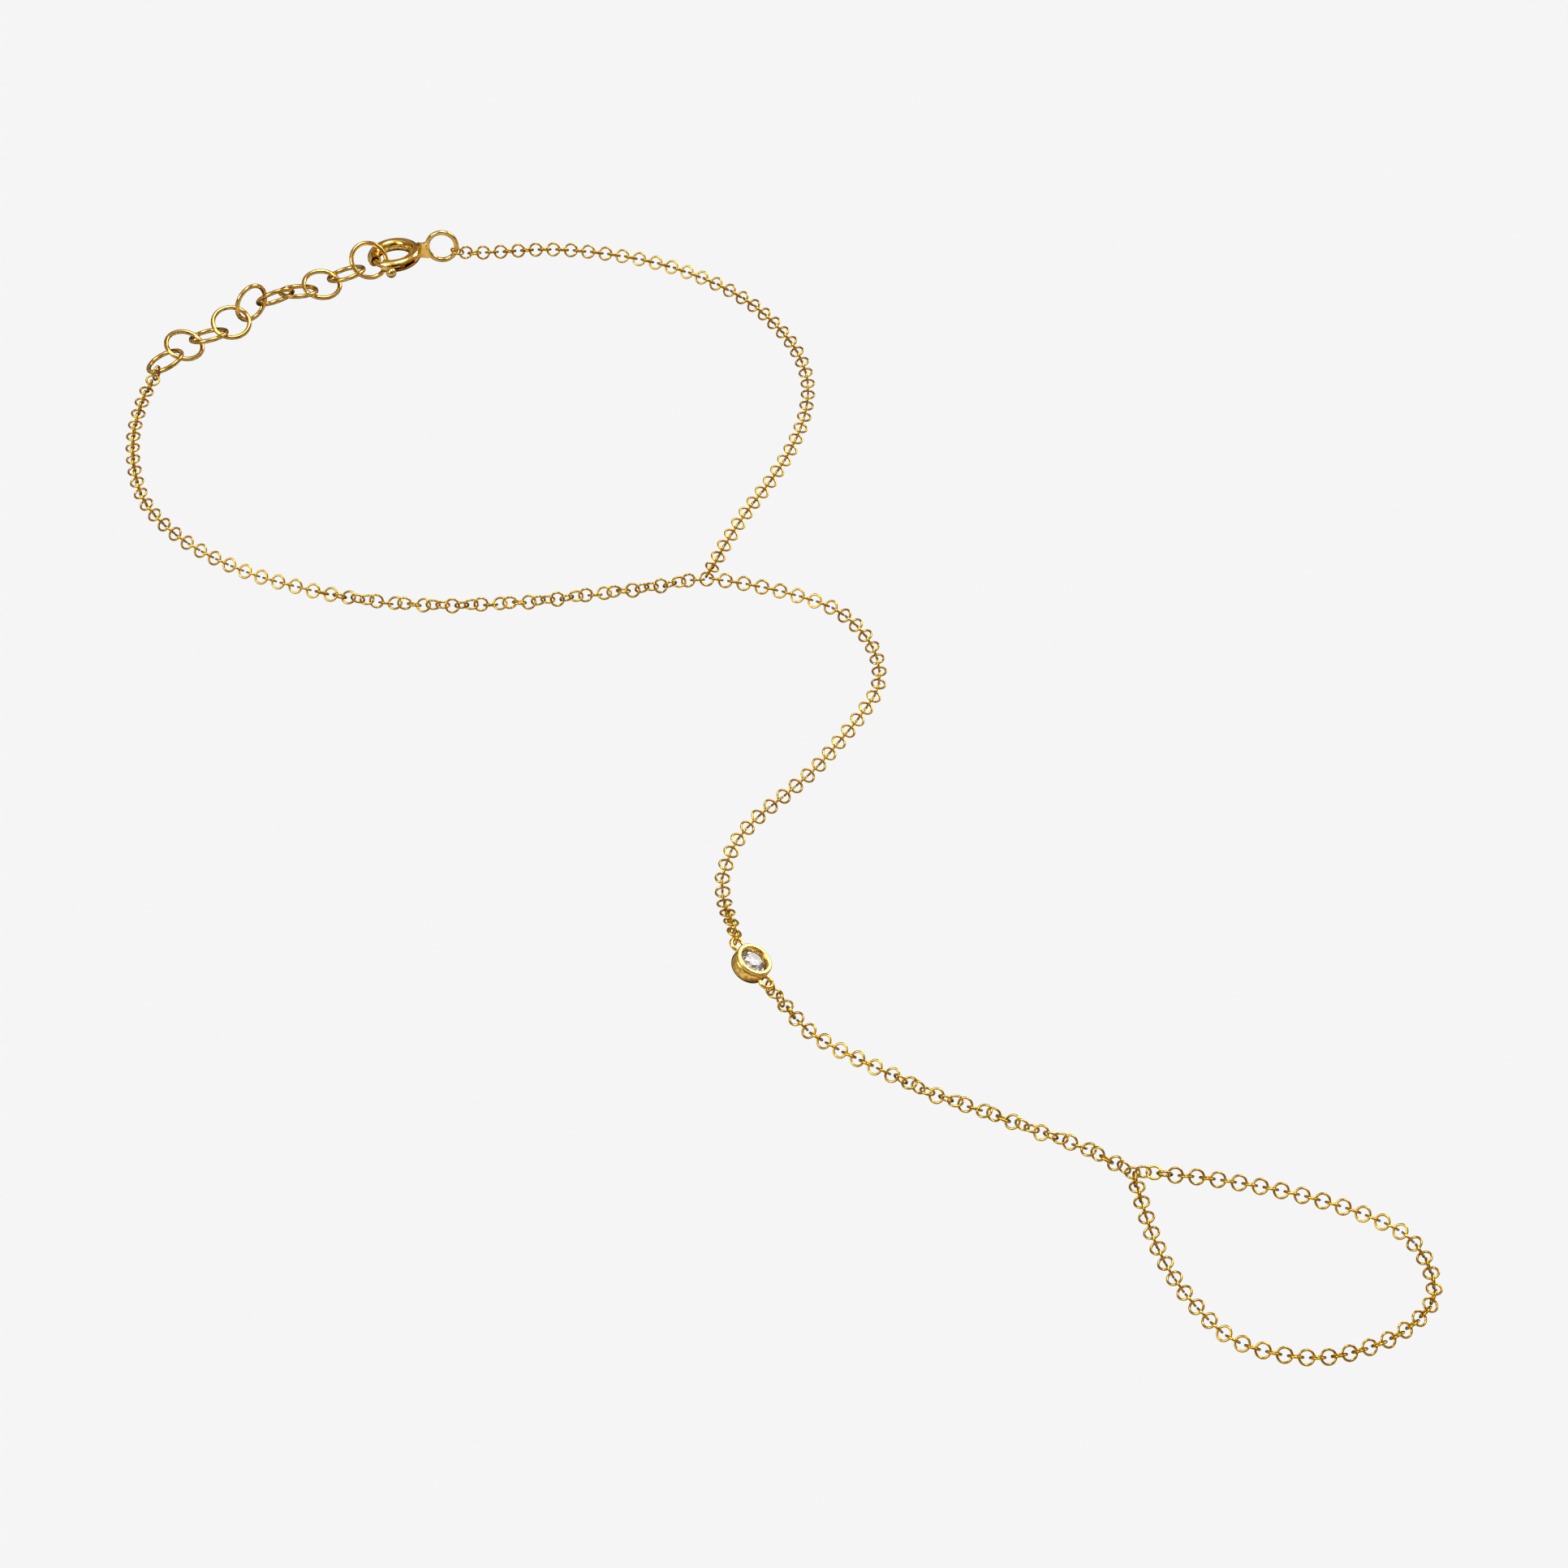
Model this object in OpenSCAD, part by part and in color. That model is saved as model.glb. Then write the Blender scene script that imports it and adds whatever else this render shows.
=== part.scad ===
// Hand chain of fine gold cable chain, laid flat: a wrist loop closed by a spring ring clasp on an
// extender of larger rings, a chain over the back of the hand with one bezel set stone in it, and
// a loop for the finger. Millimetres, +Z up, lying on z = 0, origin at the middle of its footprint.

/* [Cable chain] */
// Outer diameter of a chain link
link_d = 1.36; // [1.3:0.02:1.44]
// Diameter of a link's wire
link_wire = 0.19; // [0.16:0.01:0.2]
// Play between two links that hold each other
link_play = 0.12; // [0.11:0.01:0.14]
// Diameter of the plain core that stands for a long stretch of links
core_d = 0.88; // [0.6:0.02:0.9]

/* [Extender] */
// Outer diameter of an extender ring
ring_d = 3.85; // [3.7:0.05:4.1]
// Diameter of an extender ring's wire
ring_wire = 0.42; // [0.36:0.01:0.43]
// Outer diameter of the jump ring between the extender and the chain
jump_d = 1.5; // [1.4:0.05:1.7]
// Diameter of the jump ring's wire
jump_wire = 0.24; // [0.2:0.02:0.28]

/* [Clasp] */
// Outer diameter of the spring ring
clasp_d = 5.15; // [5:0.05:5.3]
// Outer diameter of the spring ring's tube
tube_d = 1.2; // [1.1:0.05:1.25]
// Wall of the spring ring's tube
tube_wall = 0.2; // [0.15:0.01:0.22]
// Play of the bolt in the tube
bolt_play = 0.1; // [0.08:0.01:0.12]
// Angle of the gate that the bolt closes
gate_angle = 40; // [36:1:44]
// How far the closed bolt reaches into the tube beyond the gate, as an angle
bolt_overlap = 8; // [5:1:12]
// Angle from the gate's near side to the thumb knob
knob_angle = 25; // [22:1:32]
// Diameter of the thumb knob
knob_d = 1; // [0.8:0.05:1.2]
// Diameter of the neck that carries the thumb knob
neck_d = 0.26; // [0.2:0.02:0.3]
// Outer diameter of the eye soldered to the spring ring
eye_d = 3.25; // [3:0.05:3.5]
// Diameter of the eye's wire
eye_wire = 0.4; // [0.36:0.01:0.41]

/* [Bezel] */
// Outer diameter of the bezel's rim
bezel_d = 3.2; // [3:0.1:3.5]
// Height of the bezel
bezel_h = 1.6; // [1.5:0.1:1.9]
// Width of the bezel's rim
rim_w = 0.45; // [0.38:0.01:0.48]
// Outer diameter of the two end loops soldered to the bezel
loop_d = 1.45; // [1.35:0.05:1.55]
// Diameter of the end loops' wire
loop_wire = 0.32; // [0.24:0.01:0.34]
// Play round the stone in its seat
stone_play = 0.03; // [0.02:0.01:0.05]

/* [Hidden] */

round_faces = 48;
wire_faces = 24;
eps = 0.01;
gold = [0.84, 0.66, 0.33];
pale_gold = [0.93, 0.8, 0.5];
diamond = [0.93, 0.96, 1];

// A ring is kept as its centre, its normal, its radius at the wire's middle and its wire's diameter
CENTRE = 0;
NORMAL = 1;
RADIUS = 2;
WIRE = 3;

link_r = (link_d - link_wire) / 2;
link_pitch = 2 * link_r - link_wire - link_play;
floor_play = 0.015;
tie_play = 0.14;

// Every second link faces this way, up and to the front, and the others stand edge on to it
facing = [0, -0.75, 0.66];

// Routes of the chains, from above: x, y, height held above the floor, twist in degrees
route_right = [
    [-22.7, 71.2, 0, 0],
    [-17.2, 71.6, 0, 0],
    [-11.7, 70.8, 0, 0],
    [-6.8, 69.2, 0, 0],
    [-2.6, 66.8, 0, 0],
    [1.1, 63.6, 0, 0],
    [4, 59.6, 0, 0],
    [6.1, 55.2, 0, 0],
    [7.1, 50.4, 0, 0],
    [6.8, 45.4, 0, 0],
    [5.6, 40.6, 0, 0],
    [3.8, 36, 0, 0],
    [1.7, 31.6, 0, 0],
    [-0.2, 27, 0, 0]
];
route_left = [
    [-54.8, 47.8, 0, 0],
    [-55.3, 42.6, 0, 0],
    [-54.7, 37.5, 0, 0],
    [-53.1, 32.6, 0, 0],
    [-50.2, 28.3, 0, 0],
    [-46.5, 24.9, 0, 0],
    [-42.2, 22.2, 0, 0],
    [-37.4, 20.2, 0, 0],
    [-32.5, 18.7, 0, -40],
    [-27.4, 18, 0, -186],
    [-22.3, 18, 0, -331],
    [-17.2, 18.5, 0, -477],
    [-12.2, 19.4, 0, -622],
    [-7.2, 20.4, 0, -768]
];
route_hand = [
    [1.9, 20.9, 0, 0],
    [5.6, 19.6, 0, 0],
    [9.1, 17.7, 0, 0],
    [11.6, 14.6, 0, 0],
    [13, 10.8, 0, 0],
    [13.1, 6.8, 0, 0],
    [11.6, 3.1, 0, 0],
    [9.7, -0.4, 0, 0],
    [7.7, -3.8, 0, 0],
    [5.3, -7, 0, 0],
    [2.7, -10.2, 0, 0],
    [0.8, -13.6, 0, 0],
    [-0.2, -17.6, 0, 0],
    [-0.2, -20, 0.6, 0],
    [0.1, -22.4, 1.2, -15],
    [0.6, -25, 1.9, -35]
];
route_lower = [
    [6.4, -35.6, 0, 0],
    [8.7, -37.9, 0, 0],
    [12.5, -40.6, 0, 0],
    [16.4, -43.3, 0, -66],
    [20.6, -45.4, 0, -201],
    [24.6, -47.5, 0, -333],
    [28.8, -49.7, 0, -470]
];
route_finger = [
    [36.5, -52.7, 0, 0],
    [40.1, -53.3, 0, 0],
    [43.7, -54.2, 0, 0],
    [47.2, -55.4, 0, 0],
    [50.6, -57, 0, 0],
    [53.5, -59.2, 0, 0],
    [55, -62.6, 0, 0],
    [55, -66.2, 0, 0],
    [52.7, -69.2, 0, 0],
    [49.6, -71.1, 0, 0],
    [46, -72.1, 0, 0],
    [42.3, -71.6, 0, 0],
    [39.1, -70, 0, 0],
    [36.8, -67, 0, 0],
    [35.1, -63.7, 0, 0],
    [33.9, -60.1, 0, 0],
    [33.2, -56.6, 0, 0]
];

// Where the links that hold three chains lie, and where the bezel and the spring ring stand
wrist_junction_at = [-2, 21.7];
finger_junction_at = [32.5, -52.4];
bezel_at = [1.8, -29.1];
clasp_at = [-32.4, 69.75];

// How the spring ring, its eye and the bezel lean where they lie, and how high the spring ring is
// held by the extender ring below it
clasp_turn = [-6, -3, 23];
clasp_lift = 0.4;
bezel_turn = [-17, 22, -51];
eye_at = [4.5, 0.95];
eye_lean = 77;

// How each extender ring lies: its step from the ring before as shares of a ring's radius, its
// lift off the floor as such a share, its lean from flat, and the way its face then looks
STEP_X = 0;
STEP_Y = 1;
LIFT = 2;
LEAN = 3;
HEADING = 4;
extender_lie = [
    [0, 0, 0, 40, -60],
    [-1.2, -1.1, 0.1, 24, 130],
    [-1.3, -0.95, 0.25, 13, -55],
    [-1.25, -0.8, 0.25, 20, 95],
    [-1.2, -0.8, 0, 53, 115],
    [-1.25, -0.95, 0.1, 86, -45],
    [-1.05, -1.05, 0.2, 20, -70],
    [-1.15, -1.15, 0.1, 23, 120],
    [-1.25, -1, 0.3, 17, -35],
    [-0.95, -1.3, 0.05, 25, 160]
];

function unit(v) = v / norm(v);
function plan(v) = [v[0], v[1], 0];
function last(list) = list[len(list) - 1];
function looking(lean, heading) = [
    sin(lean) * cos(heading),
    sin(lean) * sin(heading),
    cos(lean)
];
function lowest(normal, radius, wire) = radius * norm(plan(normal)) + wire / 2;

// The two directions across a ring's normal that its angles are counted from
function side(n) = unit([1, 0, 0] - n[0] * n);
function rise(n) = cross(n, side(n));
function on_ring(ring, angle) =
    ring[CENTRE] + ring[RADIUS] * (cos(angle) * side(ring[NORMAL]) + sin(angle) * rise(ring[NORMAL]));

// Centre of a ring that hangs on a held ring's wire at an angle, pulled away along a direction
function hooked(held, angle, pull, radius, wire, play) =
    on_ring(held, angle) + unit(pull) * (radius - wire / 2 - held[WIRE] / 2 - play);

module ring(r) {
    n = r[NORMAL];
    x = side(n);
    y = rise(n);
    c = r[CENTRE];
    multmatrix([
        [x[0], y[0], n[0], c[0]],
        [x[1], y[1], n[1], c[1]],
        [x[2], y[2], n[2], c[2]],
        [0, 0, 0, 1]
    ])
        rotate_extrude($fn = round_faces)
            translate([r[RADIUS], 0])
                circle(d = r[WIRE], $fn = wire_faces);
}

// Turning of a vector by rotate([a, b, c]), as the module does it
function turned(v, a) =
    let(
        x = [v[0], v[1] * cos(a[0]) - v[2] * sin(a[0]), v[1] * sin(a[0]) + v[2] * cos(a[0])],
        y = [x[0] * cos(a[1]) + x[2] * sin(a[1]), x[1], x[2] * cos(a[1]) - x[0] * sin(a[1])]
    )
    [y[0] * cos(a[2]) - y[1] * sin(a[2]), y[0] * sin(a[2]) + y[1] * cos(a[2]), y[2]];

// Smooth curve through points, by Catmull and Rom's rule
curve_steps = 12;
function blend(a, b, c, d, t) =
    0.5 * (2 * b + t * (c - a) + t * t * (2 * a - 5 * b + 4 * c - d) + t * t * t * (3 * b - a - 3 * c + d));
function smooth(points) =
    let(
        n = len(points),
        p = concat([2 * points[0] - points[1]], points, [2 * points[n - 1] - points[n - 2]])
    )
    concat(
        [for (i = [1 : n - 1], j = [0 : curve_steps - 1])
            blend(p[i - 1], p[i], p[i + 1], p[i + 2], j / curve_steps)],
        [points[n - 1]]
    );

// Normal of a link that runs along t: the facing kind, turned on by the chain's twist
function link_normal(t, twist) =
    let(n = unit(facing - (facing * t) * t))
    cos(twist) * n + sin(twist) * cross(t, n);

// Height at which both kinds of link just clear the floor
function lying(t, twist) =
    floor_play + max(
        lowest(link_normal(t, twist), link_r, link_wire),
        lowest(link_normal(t, twist + 90), link_r, link_wire)
    );

// The chain's middle line: position and twist at many steps along a route
function laid(points) =
    let(q = smooth(points), n = len(q))
    [for (i = [0 : n - 1])
        let(t = unit(plan(q[min(i + 1, n - 1)] - q[max(i - 1, 0)])))
        [q[i][0], q[i][1], max(q[i][2], lying(t, q[i][3])), q[i][3]]];
function xyz(v) = [v[0], v[1], v[2]];
function travelled(q) =
    [for (i = 0, s = 0; i < len(q); i = i + 1, s = i < len(q) ? s + norm(xyz(q[i] - q[i - 1])) : s) s];
function column(q, s, c) = [for (i = [0 : len(q) - 1]) [s[i], q[i][c]]];

// Links of a chain from its first link's middle to its last one's, as rings. Kind 0 faces and
// kind 1 stands edge on, and the count is such that the first and last are of the kinds asked.
function links(points, first_kind, last_kind) =
    let(
        q = laid(points),
        s = travelled(q),
        xs = column(q, s, 0),
        ys = column(q, s, 1),
        zs = column(q, s, 2),
        twists = column(q, s, 3),
        total = last(s),
        least = ceil(total / link_pitch),
        steps = least + (least + first_kind + last_kind) % 2,
        reach = link_pitch / 4
    )
    [for (k = [0 : steps])
        let(
            at = k * total / steps,
            before = max(at - reach, 0),
            after = min(at + reach, total),
            t = unit([
                lookup(after, xs) - lookup(before, xs),
                lookup(after, ys) - lookup(before, ys),
                lookup(after, zs) - lookup(before, zs)
            ])
        )
        [
            [lookup(at, xs), lookup(at, ys), lookup(at, zs)],
            link_normal(t, lookup(at, twists) + 90 * (first_kind + k)),
            link_r,
            link_wire
        ]];

// Spring ring: a bent tube open at the gate, with the eye soldered on by a flat collar
clasp_r = (clasp_d - tube_d) / 2;
bore_d = tube_d - 2 * tube_wall;
bolt_d = bore_d - 2 * bolt_play;
gate_far = 180;
gate_near = gate_far + gate_angle;
knob_at = gate_near + knob_angle;
bolt_travel = gate_angle + bolt_overlap + 3;
bolt_tail = 20;
slot_play = 6;
clasp_normal = turned([0, 0, 1], clasp_turn);
clasp_centre = [
    clasp_at[0],
    clasp_at[1],
    lowest(clasp_normal, clasp_r, tube_d) + clasp_lift
];
eye_r = (eye_d - eye_wire) / 2;
eye_normal = looking(eye_lean, -90);
eye = [
    [
        clasp_at[0] + eye_at[0],
        clasp_at[1] + eye_at[1],
        lowest(eye_normal, eye_r, eye_wire)
    ],
    eye_normal,
    eye_r,
    eye_wire
];

// Extender rings: the first holds the gate's bolt, and each next one passes through the last
ring_r = (ring_d - ring_wire) / 2;
first_ring_at = clasp_centre + [-2.4, -0.95, 0];
function ring_plan(k) =
    k == 0 ? first_ring_at
    : ring_plan(k - 1) + ring_r * [extender_lie[k][STEP_X], extender_lie[k][STEP_Y], 0];
function extender_ring_pose(k) =
    let(
        lie = extender_lie[k],
        n = looking(lie[LEAN], lie[HEADING]),
        at = ring_plan(k)
    )
    [[at[0], at[1], lowest(n, ring_r, ring_wire) + lie[LIFT] * ring_r], n, ring_r, ring_wire];
last_ring = extender_ring_pose(9);

// Jump ring, upright on the last extender ring's wire
jump_r = (jump_d - jump_wire) / 2;
jump_angle = -112;
jump_pull = [-0.35, -0.9, -0.1];
jump_normal = unit(cross([0, 0, 1], jump_pull));
jump = [
    hooked(last_ring, jump_angle, jump_pull, jump_r, jump_wire, link_play),
    jump_normal,
    jump_r,
    jump_wire
];

// Bezel: a turned cup with a raised rim, hollow below the stone, with a loop at each end
bezel_r = bezel_d / 2;
loop_r = (loop_d - loop_wire) / 2;
base_r = bezel_r - 0.3;
waist_r = bezel_r - 0.12;
lip_h = 0.3;
bezel_normal = turned([0, 0, 1], bezel_turn);
bezel_centre = [bezel_at[0], bezel_at[1], base_r * norm(plan(bezel_normal))];
loop_out = bezel_r + loop_r - loop_wire / 2;
loop_up = bezel_h * 0.6;
function bezel_loop(way) = [
    bezel_centre + turned([way * loop_out, 0, loop_up], bezel_turn),
    bezel_normal,
    loop_r,
    loop_wire
];

// Stone: round brilliant that fills the rim's opening
stone_r = bezel_r - rim_w - stone_play;
girdle_h = 0.06;
crown_h = 0.32 * stone_r;
pavilion_h = 0.86 * stone_r;
table_r = 0.58 * stone_r;
table_sink = 0.05;
stone_z = bezel_h - table_sink - crown_h - girdle_h;

// Links that hold three chains
wrist_junction_normal = unit(facing);
wrist_junction = [
    [wrist_junction_at[0], wrist_junction_at[1], lying([1, 0, 0], 0)],
    wrist_junction_normal,
    link_r,
    link_wire
];
finger_junction = [
    [finger_junction_at[0], finger_junction_at[1], link_r],
    [0, 0, 1],
    link_r,
    link_wire
];

// Middle of a chain's end link that hangs on a held ring's wire, as a point of the route
function tied(held, angle, pull, twist) =
    let(c = hooked(held, angle, pull, link_r, link_wire, tie_play))
    [c[0], c[1], c[2], twist];

chain_right = links(
    concat(
        [tied(eye, -20, [1, 0.2, -0.4], 33)],
        route_right,
        [tied(wrist_junction, 78, [0.36, 0.9, -0.2], 5)]
    ),
    1, 1
);
chain_left = links(
    concat(
        [tied(jump, 195, [-0.35, -0.9, -0.4], 6)],
        route_left,
        [tied(wrist_junction, 190, [-1, -0.2, 0], -900)]
    ),
    0, 1
);
chain_hand = links(
    concat(
        [tied(wrist_junction, 0, [1, -0.1, 0], 0)],
        route_hand,
        [tied(bezel_loop(-1), 105, [-0.1, 0.9, -0.3], -35)]
    ),
    1, 1
);
chain_lower = links(
    concat(
        [tied(bezel_loop(1), -60, [0.5, -0.9, -0.2], -51)],
        route_lower,
        [tied(finger_junction, 144, [-0.8, 0.6, 0], -582)]
    ),
    1, 1
);
chain_finger = links(
    concat(
        [tied(finger_junction, 0, [1, 0, 0], -49)],
        route_finger,
        [tied(finger_junction, -81, [0.16, -1, 0], 11)]
    ),
    1, 1
);

// Tube swept along a stretch of chain, from one end link to the other
core_sides = 8;
core_pitch = 3;
function core_points(chain) =
    let(
        first = chain[0],
        end = last(chain),
        head = first[CENTRE] + unit(chain[1][CENTRE] - first[CENTRE]) * (link_d / 2 + link_play),
        tail = end[CENTRE] + unit(chain[len(chain) - 2][CENTRE] - end[CENTRE]) * (link_d / 2 + link_play)
    )
    concat(
        [head],
        [for (k = [core_pitch : core_pitch : len(chain) - core_pitch]) chain[k][CENTRE]],
        [tail]
    );
module core(chain) {
    p = core_points(chain);
    n = len(p);
    points = [for (i = [0 : n - 1])
        let(
            t = unit(p[min(i + 1, n - 1)] - p[max(i - 1, 0)]),
            across = unit(cross([0, 0, 1], t)),
            up = cross(t, across)
        )
        for (j = [0 : core_sides - 1])
            let(a = 360 * (j + 0.5) / core_sides)
            p[i] + core_d / 2 * (cos(a) * across + sin(a) * up)];
    walls = [for (i = [0 : n - 2], j = [0 : core_sides - 1])
        let(a = i * core_sides, b = (j + 1) % core_sides)
        [a + j, a + core_sides + j, a + core_sides + b, a + b]];
    polyhedron(
        points,
        concat(
            [[for (j = [0 : core_sides - 1]) j]],
            walls,
            [[for (j = [core_sides - 1 : -1 : 0]) (n - 1) * core_sides + j]]
        )
    );
}

module whole_chain(chain) {
    color(gold)
        for (r = chain)
            ring(r);
}

module cored_chain(chain) {
    color(gold) {
        ring(chain[0]);
        core(chain);
        ring(last(chain));
    }
}

module clasp_pose() {
    translate(clasp_centre)
        rotate(clasp_turn)
            children();
}

module bent_bar(radius, from, to, d) {
    rotate([0, 0, from])
        rotate_extrude(angle = to - from, $fn = round_faces)
            translate([radius, 0])
                circle(d = d, $fn = wire_faces);
}

module clasp_ring() {
    collar_reach = eye[CENTRE][0] - clasp_centre[0] - clasp_r - tube_wall / 2;
    color(gold) {
        difference() {
            union() {
                clasp_pose()
                    bent_bar(clasp_r, gate_near, gate_far + 360, tube_d);
                translate(eye[CENTRE])
                    rotate([eye_lean, 0, 0])
                        linear_extrude(height = eye_wire * 0.94, center = true)
                            polygon([
                                [-collar_reach, eye_r * 0.25],
                                [-collar_reach, -eye_r * 0.83],
                                [-eye_r * 0.78, -eye_r * 0.9],
                                [-eye_r * 0.78, eye_r * 0.4]
                            ]);
            }
            clasp_pose() {
                bent_bar(clasp_r, gate_near - 1, gate_far + 361, bore_d);
                rotate([0, 0, knob_at - slot_play])
                    rotate_extrude(angle = bolt_travel + 2 * slot_play, $fn = round_faces)
                        translate([clasp_r, -neck_d / 2 - bolt_play])
                            square([tube_d, neck_d + 2 * bolt_play]);
            }
            translate(eye[CENTRE])
                rotate([0, eye_lean, -90])
                    cylinder(h = 2 * tube_d, r = eye_r - eye_wire / 2 + eps, center = true, $fn = round_faces);
        }
        ring(eye);
    }
}

module clasp_bolt() {
    knob_out = clasp_d / 2 + bolt_play + knob_d / 2;
    color(pale_gold)
        clasp_pose() {
            bent_bar(clasp_r, gate_far - bolt_overlap, knob_at + bolt_tail, bolt_d);
            rotate([0, 0, knob_at])
                translate([clasp_r, 0, 0])
                    rotate([0, 90, 0]) {
                        cylinder(h = knob_out - clasp_r, d = neck_d, $fn = wire_faces);
                        translate([0, 0, knob_out - clasp_r])
                            sphere(d = knob_d, $fn = round_faces);
                    }
        }
}

module extender_ring(k) {
    color(gold)
        ring(extender_ring_pose(k - 1));
}

module jump_ring() {
    color(gold)
        ring(jump);
}

module bezel() {
    seat_z = stone_z - stone_play;
    hole_r = stone_r * 0.45;
    // The cup's seam lies away from both loops
    cup_turn = 50;
    color(gold) {
        translate(bezel_centre)
            rotate(bezel_turn)
                rotate(cup_turn)
                    rotate_extrude($fn = round_faces)
                        polygon([
                            [hole_r, 0],
                            [base_r, 0],
                            [bezel_r - 0.08, 0.25],
                            [bezel_r, 0.5],
                            [bezel_r, bezel_h - lip_h - 0.08],
                            [waist_r, bezel_h - lip_h],
                            [bezel_r, bezel_h - lip_h + 0.06],
                            [bezel_r, bezel_h - 0.1],
                            [bezel_r - 0.1, bezel_h],
                            [bezel_r - rim_w + 0.12, bezel_h],
                            [stone_r + stone_play, bezel_h - 0.2],
                            [stone_r + stone_play, seat_z],
                            [stone_r - 0.12, seat_z - 0.16],
                            [hole_r, seat_z - 0.62]
                        ]);
        difference() {
            union() {
                ring(bezel_loop(1));
                ring(bezel_loop(-1));
            }
            translate(bezel_centre)
                rotate(bezel_turn)
                    cylinder(h = bezel_h, r = waist_r - 0.1, $fn = round_faces);
        }
    }
}

// Brilliant cut: a table, stars and kites above the girdle, mains below it down to the culet
module stone() {
    table_z = stone_z + girdle_h + crown_h;
    girdle_z = stone_z + girdle_h;
    culet_z = stone_z - pavilion_h;
    star_r = 0.8 * stone_r;
    lower_r = 0.5 * stone_r;
    star_z = table_z - crown_h * (star_r * cos(22.5) - table_r) / (stone_r - table_r);
    lower_z = culet_z + pavilion_h * lower_r * cos(22.5) / stone_r;
    function round8(r, z, start) = [for (k = [0 : 7]) [r * cos(45 * k + start), r * sin(45 * k + start), z]];
    function round16(z) = [for (k = [0 : 15]) [stone_r * cos(22.5 * k), stone_r * sin(22.5 * k), z]];
    table = 0;
    star = 8;
    top = 16;
    low = 32;
    lower = 48;
    culet = 56;
    color(diamond)
        translate(bezel_centre)
            rotate(bezel_turn)
                polyhedron(
                    concat(
                        round8(table_r, table_z, 0),
                        round8(star_r, star_z, 22.5),
                        round16(girdle_z),
                        round16(stone_z),
                        round8(lower_r, lower_z, 22.5),
                        [[0, 0, culet_z]]
                    ),
                    concat(
                        [[for (k = [7 : -1 : 0]) table + k]],
                        [for (k = [0 : 7]) [table + k, table + (k + 1) % 8, star + k]],
                        [for (k = [0 : 7]) [table + k, star + k, top + 2 * k]],
                        [for (k = [0 : 7]) [table + k, top + 2 * k, star + (k + 7) % 8]],
                        [for (k = [0 : 7]) [star + k, top + 2 * k + 1, top + 2 * k]],
                        [for (k = [0 : 7]) [star + k, top + (2 * k + 2) % 16, top + 2 * k + 1]],
                        [for (k = [0 : 15]) [top + k, top + (k + 1) % 16, low + (k + 1) % 16, low + k]],
                        [for (k = [0 : 7]) [lower + k, low + 2 * k, low + 2 * k + 1]],
                        [for (k = [0 : 7]) [lower + k, low + 2 * k + 1, low + (2 * k + 2) % 16]],
                        [for (k = [0 : 7]) [culet, low + 2 * k, lower + k]],
                        [for (k = [0 : 7]) [culet, lower + (k + 7) % 8, low + 2 * k]]
                    )
                );
}

module wrist_chain_left() {
    cored_chain(chain_left);
}

module wrist_chain_right() {
    cored_chain(chain_right);
}

module hand_chain_upper() {
    whole_chain(chain_hand);
}

module hand_chain_lower() {
    whole_chain(chain_lower);
}

module finger_chain() {
    whole_chain(chain_finger);
}

module wrist_junction_link() {
    color(gold)
        ring(wrist_junction);
}

module finger_junction_link() {
    color(gold)
        ring(finger_junction);
}

clasp_ring();
clasp_bolt();
for (k = [1 : 10])
    extender_ring(k);
jump_ring();
wrist_chain_left();
wrist_chain_right();
wrist_junction_link();
hand_chain_upper();
bezel();
stone();
hand_chain_lower();
finger_junction_link();
finger_chain();
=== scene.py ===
import math

import bmesh
import bpy
import numpy as np
from mathutils import Euler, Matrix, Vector


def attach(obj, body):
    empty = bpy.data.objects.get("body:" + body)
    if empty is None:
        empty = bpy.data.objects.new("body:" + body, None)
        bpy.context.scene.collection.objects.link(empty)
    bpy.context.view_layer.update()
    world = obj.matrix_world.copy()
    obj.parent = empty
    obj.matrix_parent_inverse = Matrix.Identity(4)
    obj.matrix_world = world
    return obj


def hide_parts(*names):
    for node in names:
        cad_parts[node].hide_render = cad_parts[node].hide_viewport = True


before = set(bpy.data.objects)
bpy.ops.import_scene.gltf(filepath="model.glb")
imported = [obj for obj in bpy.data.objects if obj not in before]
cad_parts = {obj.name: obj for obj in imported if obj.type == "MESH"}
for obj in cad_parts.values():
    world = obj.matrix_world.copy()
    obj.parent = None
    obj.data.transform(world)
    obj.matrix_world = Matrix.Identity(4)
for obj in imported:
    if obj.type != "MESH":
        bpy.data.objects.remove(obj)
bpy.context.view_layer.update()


MM = 0.001


# Camera: it looks down on the chain from the front, as the photograph was taken from a stand
# over the table, with a long lens.
camera_rise = math.radians(41.5)
camera_reach = 469.3 * MM
to_camera = Vector((0, -math.cos(camera_rise), math.sin(camera_rise)))
aimed_at = Vector((4.9, -5.3, 0)) * MM
camera = bpy.data.objects.new("camera", bpy.data.cameras.new("camera"))
camera.location = aimed_at + camera_reach * to_camera
camera.rotation_euler = (math.pi / 2 - camera_rise, 0, 0)
camera.data.sensor_width = 36
camera.data.lens = 125.8
camera.data.clip_start = 0.01
camera.data.clip_end = 20
bpy.context.scene.collection.objects.link(camera)
bpy.context.scene.camera = camera


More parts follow.
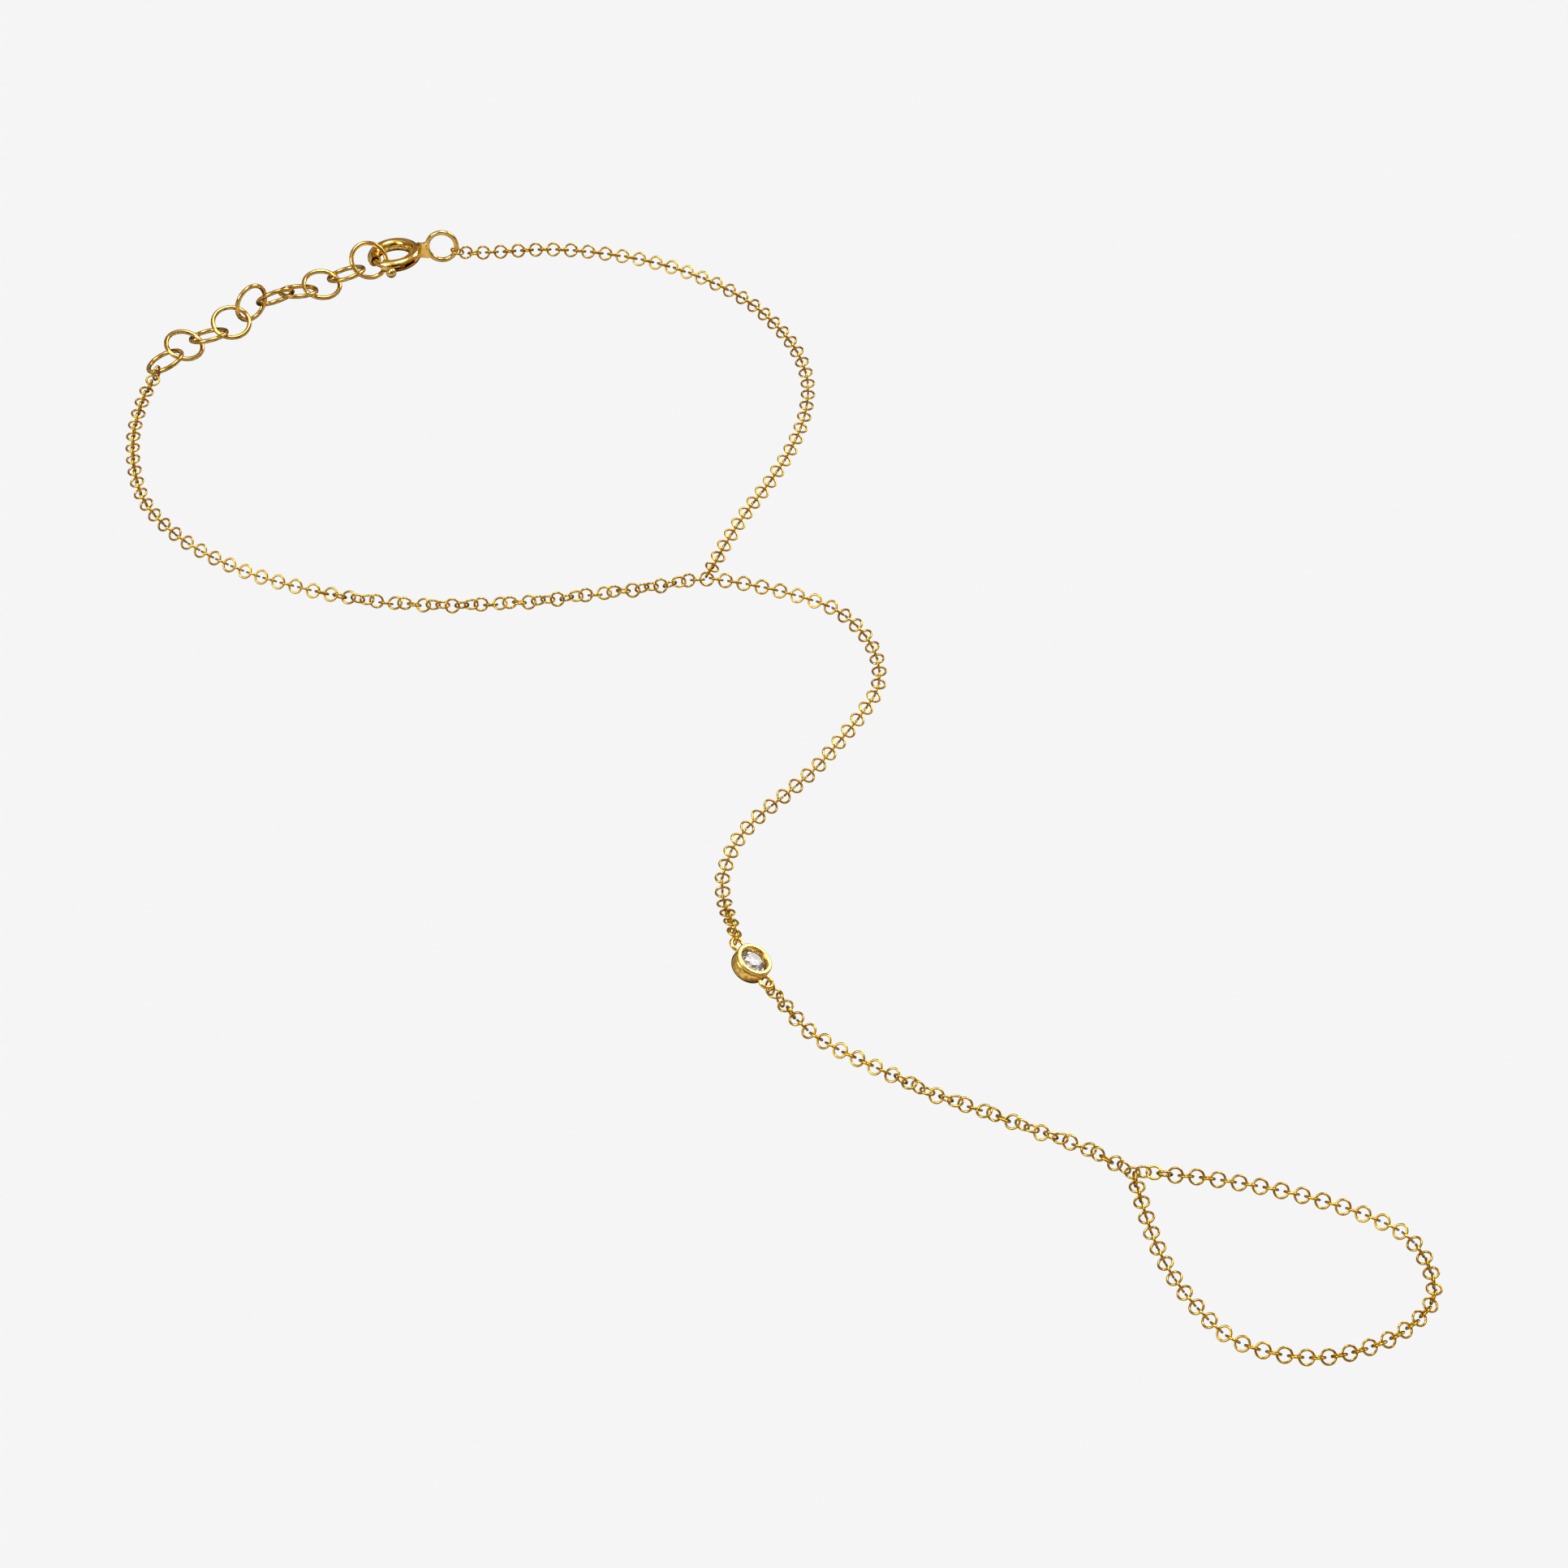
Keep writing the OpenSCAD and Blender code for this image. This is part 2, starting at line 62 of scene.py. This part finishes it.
# Table and light: a plain pale table top and big soft lamps, as for a catalogue picture. The top
# glows a little itself, so that it is as even as a light table.
class Shade:
    """A socket of a shader tree. A number plus it or times it adds the node for that."""

    def __init__(self, tree, socket=None):
        self.tree = tree
        self.socket = socket

    def node(self, kind, settings=None, inputs=None, out=0):
        """A new node, given its settings and the values or links of its sockets."""
        made = self.tree.nodes.new("ShaderNode" + kind)
        for name, value in (settings or {}).items():
            if name == "stops":
                stops = made.color_ramp.elements
                while len(stops) < len(value):
                    stops.new(0.5)
                for stop, (place, colour) in zip(stops, value):
                    stop.position = place
                    stop.color = (*colour, 1)
            else:
                setattr(made, name, value)
        for name, value in (inputs or {}).items():
            if isinstance(value, Shade):
                self.tree.links.new(value.socket, made.inputs[name])
            elif isinstance(value, (tuple, list)) and made.inputs[name].type == "RGBA":
                made.inputs[name].default_value = (*value, 1)
            else:
                made.inputs[name].default_value = value
        return Shade(self.tree, made.outputs[out] if made.outputs else None)

    def __radd__(self, number):
        return self.node("Math", {"operation": "ADD"}, {0: number, 1: self})

    def __rmul__(self, number):
        return self.node("Math", {"operation": "MULTIPLY"}, {0: number, 1: self})

    def mix(self, low, high):
        """One colour into another by this value."""
        settings = {"data_type": "RGBA", "clamp_factor": False}
        return self.node("Mix", settings, {0: self, 6: low, 7: high}, out=2)

    def spread(self, low, high, to_low=0.0, to_high=1.0):
        """This value, with its stretch from low to high spread over another one."""
        return self.node("MapRange", inputs={
            "Value": self, "From Min": low, "From Max": high, "To Min": to_low, "To Max": to_high})


def new_material(name):
    material = bpy.data.materials.new(name)
    material.use_nodes = True
    material.node_tree.nodes.clear()
    return material, Shade(material.node_tree)


table_half = 2.0
table_drop = 0.02 * MM
table_white = (0.913, 0.913, 0.913)
table_corners = [
    (x * table_half, y * table_half, 0) for x, y in ((-1, -1), (1, -1), (1, 1), (-1, 1))]
table_mesh = bpy.data.meshes.new("table_top")
table_mesh.from_pydata(table_corners, [], [(0, 1, 2, 3)])
table_top = bpy.data.objects.new("table_top", table_mesh)
table_top.location.z = -table_drop
bpy.context.scene.collection.objects.link(table_top)
# Gold mirrors so near and even a table as flat white, so it mirrors the studio alone
table_top.visible_glossy = False
paper, shade = new_material("table_paper")
glow = shade.node("Emission", inputs={"Color": table_white, "Strength": 1.0})
glow.node("OutputMaterial", inputs={"Surface": glow})
table_mesh.materials.append(paper)

world = bpy.data.worlds.new("studio")
bpy.context.scene.world = world
world.use_nodes = True
world.node_tree.nodes.clear()
shade = Shade(world.node_tree)
direction = shade.node("TexCoord", out="Generated")
height = shade.node("SeparateXYZ", inputs={"Vector": direction}, out="Z")
# What the gold mirrors, from straight below to straight above: the table in front of it, the
# pale wall, the dark upper wall and the white ceiling
studio = shade.node("ValToRGB", {"stops": [
    (0.0, (0.05, 0.03, 0.02)),
    (0.1, (0.24, 0.18, 0.11)),
    (0.18, (0.55, 0.48, 0.37)),
    (0.36, (0.60, 0.54, 0.45)),
    (0.5, (0.32, 0.28, 0.22)),
    (0.57, (0.52, 0.48, 0.42)),
    (0.66, (0.20, 0.12, 0.05)),
    (0.84, (0.26, 0.18, 0.10)),
    (1.0, (0.95, 0.92, 0.88))]}, {0: 0.5 + 0.5 * height})
# Things that stand about in the studio make it uneven
clutter = shade.node("TexNoise", inputs={"Vector": direction, "Scale": 4, "Detail": 1})
uneven = clutter.spread(0.38, 0.62, 0.3, 1.5).mix((0, 0, 0), studio)
# The dark lens, and the dark end of the studio that round metal mirrors along its edges
toward_lens = shade.node(
    "VectorMath", {"operation": "DOT_PRODUCT"}, {0: direction, 1: to_camera}, out="Value")
with_lens = toward_lens.spread(0.94, 0.98).mix(uneven, (0.02, 0.015, 0.01))
with_dark_end = (-1.0 * toward_lens).spread(0.45, 0.85).mix(with_lens, (0.03, 0.02, 0.01))
sky = shade.node("Background", inputs={"Color": with_dark_end, "Strength": 1.2})
sky.node("OutputWorld", inputs={"Surface": sky})

# Name, place and width in metres, and power in watts. The right one stands where the bezel's rim
# mirrors it to the camera.
lamps = [
    ("lamp_left", (-0.7, -0.35, 0.75), 0.42, 4.0),
    ("lamp_right", (0.66, 0.69, 0.56), 0.46, 3.6),
    ("lamp_top", (0.1, 0.25, 1.05), 0.42, 4.6),
]
for name, place, width, power in lamps:
    light = bpy.data.lights.new(name, "AREA")
    light.size = width
    light.energy = power
    lamp = bpy.data.objects.new(name, light)
    lamp.location = place
    lamp.rotation_euler = (-Vector(place)).to_track_quat("-Z", "Y").to_euler()
    bpy.context.scene.collection.objects.link(lamp)

bpy.context.scene.view_settings.view_transform = "Standard"


# Cable chain: round links of drawn gold wire, each closed with a soldered joint and hung through
# the next. The hand chain and the finger loop lie where their solids lie.
def loose_rings(node):
    """Each ring of a node: its centre, its normal, its radius at the wire's middle, its wire."""
    mesh = bmesh.new()
    mesh.from_mesh(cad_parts[node].data)
    bmesh.ops.remove_doubles(mesh, verts=mesh.verts, dist=0.00001 * MM)
    mesh.verts.ensure_lookup_table()
    seen = set()
    rings = []
    for start in mesh.verts:
        if start.index in seen:
            continue
        seen.add(start.index)
        stack = [start]
        points = []
        while stack:
            vertex = stack.pop()
            points.append(vertex.co[:])
            for edge in vertex.link_edges:
                other = edge.other_vert(vertex)
                if other.index not in seen:
                    seen.add(other.index)
                    stack.append(other)
        points = np.array(points)
        middle = (points.max(axis=0) + points.min(axis=0)) / 2
        axes = np.linalg.svd(points - points.mean(axis=0))[2]
        along = (points - middle) @ axes.T
        centre = middle + ((along.max(axis=0) + along.min(axis=0)) / 2) @ axes
        extent = along.max(axis=0) - along.min(axis=0)
        outer = (extent[0] + extent[1]) / 4
        rings.append((Vector(centre), Vector(axes[2]), outer - extent[2] / 2, extent[2]))
    mesh.free()
    return rings


def ring_mesh(name, rings, round_steps, wire_steps):
    """One mesh of many rings of round wire."""
    points = []
    faces = []
    for centre, normal, radius, wire in rings:
        side = (Vector((1, 0, 0)) - normal.x * normal).normalized()
        rise = normal.cross(side)
        first = len(points)
        for i in range(round_steps):
            turn = 2 * math.pi * i / round_steps
            out = math.cos(turn) * side + math.sin(turn) * rise
            for j in range(wire_steps):
                bend = 2 * math.pi * j / wire_steps
                reach = radius + wire / 2 * math.cos(bend)
                points.append(centre + out * reach + normal * (wire / 2 * math.sin(bend)))
        for i in range(round_steps):
            a = first + i * wire_steps
            b = first + (i + 1) % round_steps * wire_steps
            for j in range(wire_steps):
                k = (j + 1) % wire_steps
                faces.append((a + j, b + j, b + k, a + k))
    mesh = bpy.data.meshes.new(name)
    mesh.from_pydata(points, [], faces)
    mesh.shade_smooth()
    piece = bpy.data.objects.new(name, mesh)
    bpy.context.scene.collection.objects.link(piece)
    return piece


def gold(name, deep, bright, dark, rough, marks, bump):
    """Polished gold: its colour shifts a little over the metal, and fine marks break the gloss."""
    material, shade = new_material(name)
    place = shade.node("TexCoord", out="Object")
    # Patches of tone are about 1 mm wide, and the marks about 0.2 mm
    broad = shade.node("TexNoise", inputs={"Vector": place, "Scale": 900, "Detail": 3})
    fine = shade.node("TexNoise", inputs={"Vector": place, "Scale": 6000, "Detail": 4})
    tone = broad.spread(0.35, 0.65).mix(deep, bright)
    colour = fine.spread(0.62, 0.75, 0.0, marks).mix(tone, dark)
    roughness = rough + 0.16 * fine
    bumps = shade.node("Bump", inputs={"Strength": bump, "Distance": 0.01 * MM, "Height": fine})
    metal = shade.node("BsdfPrincipled", inputs={
        "Base Color": colour, "Metallic": 1.0, "Roughness": roughness, "Normal": bumps})
    metal.node("OutputMaterial", inputs={"Surface": metal})
    return material


wire_gold = gold(
    "wire_gold", deep=(0.57, 0.31, 0.012), bright=(0.82, 0.54, 0.06), dark=(0.16, 0.06, 0.005),
    rough=0.1, marks=0.8, bump=0.08)
link_round_steps = 28
link_wire_steps = 10
for node, name in (("hand_chain_upper", "hand_chain_upper_links"),
                   ("hand_chain_lower", "hand_chain_lower_links"),
                   ("finger_chain", "finger_chain_links"),
                   ("wrist_junction_link", "wrist_junction_ring"),
                   ("finger_junction_link", "finger_junction_ring")):
    piece = ring_mesh(name, loose_rings(node), link_round_steps, link_wire_steps)
    piece.data.materials.append(wire_gold)
    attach(piece, "bracelet")
    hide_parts(node)


# Wrist chains: the same cable chain of gold wire, from the clasp's eye and from the jump ring to
# the junction. Their end links are in the solids. The route between them, in millimetres, is the
# source's, but for the long side's bend, which is drawn 0.3 mm in to stay in the solids' box.
link_radius = 0.585 * MM
link_wire = 0.19 * MM
link_play = 0.12 * MM
link_pitch = 2 * link_radius - link_wire - link_play
floor_play = 0.015 * MM
# Every second link faces this way
facing = Vector((0, -0.75, 0.66))
curve_steps = 12
# Across, away, up and the chain's own twist in degrees
route_right = [
    (-22.7, 71.2, 0, 0), (-17.2, 71.6, 0, 0), (-11.7, 70.8, 0, 0), (-6.8, 69.2, 0, 0),
    (-2.6, 66.8, 0, 0), (1.1, 63.6, 0, 0), (4, 59.6, 0, 0), (6.1, 55.2, 0, 0), (7.1, 50.4, 0, 0),
    (6.8, 45.4, 0, 0), (5.6, 40.6, 0, 0), (3.8, 36, 0, 0), (1.7, 31.6, 0, 0), (-0.2, 27, 0, 0)]
route_left = [
    (-54.6, 47.8, 0, 0), (-55, 42.6, 0, 0), (-54.5, 37.5, 0, 0), (-53.1, 32.6, 0, 0),
    (-50.2, 28.3, 0, 0), (-46.5, 24.9, 0, 0), (-42.2, 22.2, 0, 0), (-37.4, 20.2, 0, 0),
    (-32.5, 18.7, 0, -40), (-27.4, 18, 0, -186), (-22.3, 18, 0, -331), (-17.2, 18.5, 0, -477),
    (-12.2, 19.4, 0, -622), (-7.2, 20.4, 0, -768)]


def smooth(points):
    """Points along a smooth curve through the given ones."""
    rows = [2 * points[0] - points[1], *points, 2 * points[-1] - points[-2]]
    curve = []
    for a, b, c, d in zip(rows, rows[1:], rows[2:], rows[3:]):
        for step in range(curve_steps):
            t = step / curve_steps
            curve.append(0.5 * (2 * b + t * (c - a) + t * t * (2 * a - 5 * b + 4 * c - d)
                                + t ** 3 * (3 * b - a - 3 * c + d)))
    curve.append(points[-1])
    return np.array(curve)


def link_normal(along, twist):
    normal = (facing - facing.dot(along) * along).normalized()
    return math.cos(twist) * normal + math.sin(twist) * along.cross(normal)


def lying(along, twist):
    """Height at which both kinds of link just clear the table."""
    drops = [math.hypot(normal.x, normal.y)
             for normal in (link_normal(along, twist), link_normal(along, twist + math.pi / 2))]
    return floor_play + link_radius * max(drops) + link_wire / 2


def chain_links(points, first_kind, last_kind):
    """Links from one end to the other, every second one turned by a quarter."""
    rows = smooth([np.array(point, dtype=float) for point in points])
    for k, row in enumerate(rows):
        ahead = rows[min(k + 1, len(rows) - 1)]
        behind = rows[max(k - 1, 0)]
        along = Vector((ahead[0] - behind[0], ahead[1] - behind[1], 0)).normalized()
        row[2] = max(row[2], lying(along, row[3]))
    steps = np.linalg.norm(np.diff(rows[:, :3], axis=0), axis=1)
    travelled = np.concatenate(([0], np.cumsum(steps)))
    total = travelled[-1]
    count = math.ceil(total / link_pitch)
    count += (count + first_kind + last_kind) % 2
    reach = link_pitch / 4

    def at(length, column):
        return np.interp(length, travelled, rows[:, column])

    links = []
    for k in range(count + 1):
        length = k * total / count
        before = max(length - reach, 0)
        after = min(length + reach, total)
        along = Vector([at(after, c) - at(before, c) for c in range(3)]).normalized()
        centre = Vector([at(length, c) for c in range(3)])
        twist = at(length, 3) + math.pi / 2 * (first_kind + k)
        links.append((centre, link_normal(along, twist), link_radius, link_wire))
    return links


def end_links(node, near_first):
    """The two real links at a core's ends, the one nearer to a point first."""
    rings = sorted(loose_rings(node), key=lambda ring: ring[2])[:2]
    rings.sort(key=lambda ring: (ring[0] - near_first).length)
    return rings[0][0], rings[1][0]


def in_metres(route):
    return [(x * MM, y * MM, z * MM, math.radians(twist)) for x, y, z, twist in route]


# The twist at each end in degrees, and 0 or 1 for an end link that faces up or stands edge on
for node, route, first_twist, last_twist, first_kind, last_kind in (
        ("wrist_chain_right", route_right, 33, 5, 1, 1),
        ("wrist_chain_left", route_left, 6, -900, 0, 1)):
    between = in_metres(route)
    first, last = end_links(node, Vector(between[0][:3]))
    points = [(*first, math.radians(first_twist)), *between, (*last, math.radians(last_twist))]
    links = chain_links(points, first_kind, last_kind)
    piece = ring_mesh(node + "_links", links, link_round_steps, link_wire_steps)
    piece.data.materials.append(wire_gold)
    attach(piece, "bracelet")
    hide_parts(node)


# Extender: ten larger rings of thicker round gold wire, each soldered shut through the next, and
# the small jump ring that joins the last one to the chain.
ring_gold = gold(
    "ring_gold", deep=(0.62, 0.34, 0.04), bright=(0.90, 0.62, 0.18), dark=(0.14, 0.05, 0.01),
    rough=0.06, marks=0.8, bump=0.08)
ring_round_steps = 72
ring_wire_steps = 16
for node in [f"extender_ring_{k}" for k in range(1, 11)] + ["jump_ring"]:
    piece = ring_mesh(node + "_wire", loose_rings(node), ring_round_steps, ring_wire_steps)
    piece.data.materials.append(ring_gold)
    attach(piece, "bracelet")
    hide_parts(node)


# Spring ring: a bent gold tube, open at the gate and slotted for the thumb knob, with the flat
# collar and the eye of round wire soldered on.
def lean(angles):
    """How a piece leans where it lies, from its turns about X, Y and Z in degrees."""
    return Euler([math.radians(angle) for angle in angles], "XYZ").to_matrix()


def metal_mesh(name, sheets):
    """One mesh of sheets, each given as rows of points, and whether it closes along and across."""
    points = []
    faces = []
    for rows, closed_along, closed_across in sheets:
        first = len(points)
        across = len(rows[0])
        for row in rows:
            points.extend(row)
        for i in range(len(rows) - (not closed_along)):
            a = first + i * across
            b = first + (i + 1) % len(rows) * across
            for j in range(across - (not closed_across)):
                k = (j + 1) % across
                faces.append((a + j, b + j, b + k, a + k))
    mesh = bpy.data.meshes.new(name)
    mesh.from_pydata(points, [], faces)
    welded = bmesh.new()
    welded.from_mesh(mesh)
    bmesh.ops.remove_doubles(welded, verts=welded.verts, dist=0.0005 * MM)
    bmesh.ops.recalc_face_normals(welded, faces=welded.faces)
    welded.to_mesh(mesh)
    welded.free()
    mesh.shade_smooth()
    mesh.set_sharp_from_angle(angle=math.radians(40))
    piece = bpy.data.objects.new(name, mesh)
    bpy.context.scene.collection.objects.link(piece)
    return piece


def bent_rows(centre, piece_lean, radius, start, end, section, steps):
    """Rows of a section, given as distances out and up, bent round from one angle to another."""
    rows = []
    for i in range(steps + 1):
        turn = math.radians(start + (end - start) * i / steps)
        out = piece_lean @ Vector((math.cos(turn), math.sin(turn), 0))
        up = piece_lean @ Vector((0, 0, 1))
        rows.append([centre + out * (radius + x) + up * y for x, y in section])
    return rows


def whole_turn(centre, piece_lean, radius, section):
    """Rows of a section all the way round, for a sheet that closes along and across."""
    count = 144
    return bent_rows(centre, piece_lean, radius, 0, 360 - 360 / count, section, count - 1)


def wire_section(radius, steps):
    return [(radius * math.cos(2 * math.pi * k / steps), radius * math.sin(2 * math.pi * k / steps))
            for k in range(steps)]


def closed_ends(rows):
    """A closed band of rows with a flat end at each end."""
    first = sum(rows[0], Vector()) / len(rows[0])
    last = sum(rows[-1], Vector()) / len(rows[-1])
    return [[first] * len(rows[0]), *rows, [last] * len(rows[0])]


clasp_gold = gold(
    "clasp_gold", deep=(0.76, 0.44, 0.06), bright=(0.98, 0.71, 0.23), dark=(0.28, 0.11, 0.01),
    rough=0.06, marks=0.1, bump=0.03)
clasp_centre = Vector((-32.4, 69.75, 1.2306)) * MM
clasp_lean = lean((-6, -3, 23))
tube_middle = 1.975 * MM
tube_outer = 0.6 * MM
tube_inner = 0.4 * MM
tube_sides = 32
wire_sides = 20
gate_far = 180
gate_near = 220
slot_start = 239
slot_end = 302
# The slot is two of the tube's sides wide on each side of its middle
slot_sides = 2
outer_wall = wire_section(tube_outer, tube_sides)
inner_wall = wire_section(tube_inner, tube_sides)
beside_slot = range(slot_sides, tube_sides - slot_sides + 1)
over_slot = range(-slot_sides, slot_sides + 1)
slotted_wall = [outer_wall[k] for k in beside_slot] + [inner_wall[k] for k in reversed(beside_slot)]


def tube_rows(start, end, section, steps):
    return bent_rows(clasp_centre, clasp_lean, tube_middle, start, end, section, steps)


sheets = []
# The short piece of tube from the gate to the slot, the long one from the slot round to the gate,
# and the slotted one between them
for start, end, steps in ((gate_near, slot_start, 8), (slot_end, gate_far + 360, 96)):
    for wall in (outer_wall, inner_wall):
        sheets.append((tube_rows(start, end, wall, steps), False, True))
sheets.append((tube_rows(slot_start, slot_end, slotted_wall, 26), False, True))
for turn in (gate_near, gate_far + 360):
    gate_end = [tube_rows(turn, turn, wall, 1)[0] for wall in (outer_wall, inner_wall)]
    sheets.append((gate_end, False, True))
for turn in (slot_start, slot_end):
    slot_edge = [tube_rows(turn, turn, [wall[k] for k in over_slot], 1)[0]
                 for wall in (outer_wall, inner_wall)]
    sheets.append((slot_edge, False, False))

eye_centre = Vector((-27.9, 70.7, 1.5885)) * MM
eye_lean = lean((77, 0, 0))
eye_wire = 0.45 * MM
eye_outer = 1.625 * MM
eye_section = wire_section(eye_wire / 2, wire_sides)
sheets.append((whole_turn(eye_centre, eye_lean, eye_outer - eye_wire / 2, eye_section), True, True))
# The collar's outline in the eye's plane, in millimetres from the eye's middle
collar_profile = [
    (-2.52, 0.2), (-2.3, 0.34), (-2, 0.3), (-1.7, 0.34), (-1.4, 0.48), (-1.14, 0.66), (-1.2, 0.3),
    (-1.26, -0.2), (-1.22, -0.5), (-1.05, -0.86), (-0.94, -1.05), (-1.25, -1.2), (-1.6, -1.16),
    (-1.95, -1.12), (-2.3, -1.16), (-2.5, -0.8), (-2.2, -0.6), (-2.15, -0.3), (-2.2, 0)]
collar_half = 0.17 * MM
collar_faces = [
    [eye_centre + eye_lean @ Vector((x * MM, y * MM, height)) for x, y in collar_profile]
    for height in (-collar_half, collar_half)]
sheets.append((closed_ends(collar_faces), False, True))
spring_ring = metal_mesh("spring_ring", sheets)
spring_ring.data.materials.append(clasp_gold)
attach(spring_ring, "bracelet")
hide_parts("clasp_ring")


# Bolt: a bent gold bar that slides in the tube and closes the gate, with a ball for the thumb on
# a thin neck through the slot. Angles are in degrees round the spring ring, as for its tube.
bolt_gold = gold(
    "bolt_gold", deep=(0.86, 0.54, 0.14), bright=(0.97, 0.74, 0.32), dark=(0.28, 0.11, 0.01),
    rough=0.06, marks=0.1, bump=0.03)
bolt_radius = 0.3 * MM
bolt_start = 172
bolt_end = 265
bolt_sides = 24
bolt_steps = 36
knob_at = math.radians(245)
knob_out = 3.175 * MM
knob_radius = 0.5 * MM
knob_rows = 24
knob_sides = 40
neck_radius = 0.13 * MM
neck_end = knob_out - knob_radius * 0.9
knob_way = clasp_lean @ Vector((math.cos(knob_at), math.sin(knob_at), 0))
knob_up = clasp_lean @ Vector((0, 0, 1))
knob_side = knob_way.cross(knob_up)


def turned_rows(stations, steps):
    """Circles about the knob's line, each given as its distance out and its radius."""
    turns = [2 * math.pi * k / steps for k in range(steps)]
    spokes = [knob_up * math.cos(turn) + knob_side * math.sin(turn) for turn in turns]
    return [[clasp_centre + knob_way * out + spoke * radius for spoke in spokes]
            for out, radius in stations]


knob_stations = []
for k in range(knob_rows + 1):
    fall = math.pi * k / knob_rows
    knob_stations.append((knob_out - knob_radius * math.cos(fall), knob_radius * math.sin(fall)))
neck_stations = [(tube_middle, neck_radius), (neck_end, neck_radius)]
bolt_bar = tube_rows(bolt_start, bolt_end, wire_section(bolt_radius, bolt_sides), bolt_steps)
bolt = metal_mesh("bolt", [
    (closed_ends(bolt_bar), False, True),
    (closed_ends(turned_rows(neck_stations, wire_sides)), False, True),
    (turned_rows(knob_stations, knob_sides), False, True)])
bolt.data.materials.append(bolt_gold)
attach(bolt, "bolt")
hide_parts("clasp_bolt")


# Bezel: a turned gold cup with its rim rolled in over the stone, and a wire loop soldered on at
# each end for the hand chain.
# The bezel's gold is a lighter copy of the other parts' gold: painted light, standing in for the
# light its wall would catch from the white table
bezel_gold_painted_lighter = gold(
    "bezel_gold_painted_lighter", deep=(0.95, 0.62, 0.14), bright=(0.98, 0.70, 0.21), dark=(0.28, 0.11, 0.01),
    rough=0.14, marks=0.05, bump=0.02)
bezel_lean = lean((-17, 22, -51))
bezel_centre = Vector((1.8, -29.1, 0.6015)) * MM
# The cup's wall as it is turned: distance from its axis and height, in millimetres, from the hole
# under the stone round the foot, the groove and the rim to the stone's seat
bezel_profile = [
    (0.504, 0), (1.26, 0), (1.3, 0.01), (1.4, 0.1), (1.49, 0.2), (1.56, 0.34), (1.6, 0.5),
    (1.6, 1.2), (1.57, 1.25), (1.5, 1.29), (1.49, 1.31), (1.56, 1.33), (1.6, 1.37), (1.6, 1.49),
    (1.585, 1.54), (1.55, 1.58), (1.5, 1.6), (1.3, 1.6), (1.25, 1.585), (1.2, 1.54),
    (1.165, 1.48), (1.15, 1.4), (1.15, 1.175), (1, 1.015), (0.504, 0.55)]
bezel_section = [(x * MM, y * MM) for x, y in bezel_profile]
sheets = [(whole_turn(bezel_centre, bezel_lean, 0, bezel_section), True, True)]
loop_wire = 0.32 * MM
loop_radius = 0.565 * MM
loop_out = 2.005 * MM
loop_up = 0.96 * MM
# Each loop is open where it runs into the cup's wall
loop_open = 42
loop_steps = 60
loop_section = wire_section(loop_wire / 2, wire_sides)
for way, wall_side in ((1, 180), (-1, 0)):
    loop_centre = bezel_centre + bezel_lean @ Vector((way * loop_out, 0, loop_up))
    loop_rows = bent_rows(loop_centre, bezel_lean, loop_radius, wall_side + loop_open,
                          wall_side + 360 - loop_open, loop_section, loop_steps)
    sheets.append((closed_ends(loop_rows), False, True))
bezel = metal_mesh("bezel_cup", sheets)
bezel.data.materials.append(bezel_gold_painted_lighter)
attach(bezel, "bracelet")
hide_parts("bezel")


# Stone: a round brilliant cut from a clear crystal, held by the bezel's rim. Its solid has the
# facets.
# Its small patches carry painted glints, dark, pale or faintly coloured, and glow faintly with
# them.
stone_glass, shade = new_material("brilliant")
place = shade.node("TexCoord", out="Object")
cells = shade.node("TexVoronoi", inputs={"Vector": place, "Scale": 3600}, out="Color")
# Painted glints: the flashes of light the facets throw, painted in as patches of colour
painted_glints = shade.node("ValToRGB", {"stops": [
    (0.0, (0.08, 0.09, 0.11)),
    (0.36, (0.26, 0.29, 0.36)),
    (0.44, (0.80, 0.84, 0.90)),
    (0.54, (0.85, 0.52, 0.36)),
    (0.62, (0.42, 0.48, 0.60)),
    (0.72, (0.95, 0.95, 0.95))]}, {0: cells})
# The glass is coloured with the painted glints and has a faint painted glow of them
clear = shade.node("BsdfPrincipled", inputs={
    "Base Color": painted_glints, "Metallic": 0.0, "Roughness": 0.03, "IOR": 1.9,
    "Transmission Weight": 1.0, "Specular IOR Level": 0.15,
    "Emission Color": painted_glints, "Emission Strength": 0.03})
clear.node("OutputMaterial", inputs={"Surface": clear})
for material_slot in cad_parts["stone"].material_slots:
    material_slot.material = stone_glass
